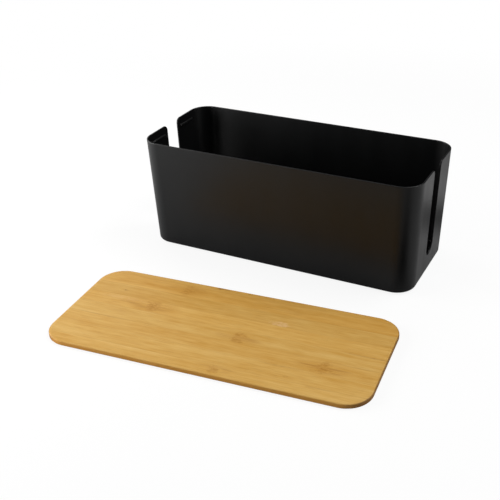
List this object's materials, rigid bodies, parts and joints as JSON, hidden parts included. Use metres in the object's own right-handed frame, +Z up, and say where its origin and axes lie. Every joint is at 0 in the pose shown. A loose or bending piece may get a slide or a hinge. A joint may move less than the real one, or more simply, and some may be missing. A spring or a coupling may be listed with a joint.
{
  "type": "cable management box",
  "caption": "Open black plastic box with tapered walls, rounded corners and a tall cable slot in each short end, beside its flat laminated bamboo lid.",
  "frame": {"origin": "the point on the floor under the middle of the box, in the plane that its pads stand on", "axes": "+Z up, +X along the box towards its right-hand cable slot, +Y from its front to its back"},
  "size_m": [0.3389, 0.3471, 0.125],
  "materials": {
    "black_plastic": "satin",
    "pad_rubber": "matt",
    "bamboo_light": "satin lacquer",
    "bamboo_mid": "satin lacquer",
    "bamboo_dark": "satin lacquer"
  },
  "bodies": {
    "box": {"box_shell": "black_plastic", "foot_pad_front_left": "pad_rubber", "foot_pad_front_right": "pad_rubber", "foot_pad_back_left": "pad_rubber", "foot_pad_back_right": "pad_rubber"},
    "lid": {"lid_strip_1": "bamboo_light", "lid_strip_2": "bamboo_light", "lid_strip_3": "bamboo_mid", "lid_strip_4": "bamboo_light", "lid_strip_5": "bamboo_mid", "lid_strip_6": "bamboo_mid", "lid_strip_7": "bamboo_dark", "lid_strip_8": "bamboo_dark"}
  },
  "joints": [
    {"name": "lid_lift", "type": "slide", "parent": "box", "child": "lid", "axis": [0, 0, 1], "range_m": [0, 0.14]}
  ]
}
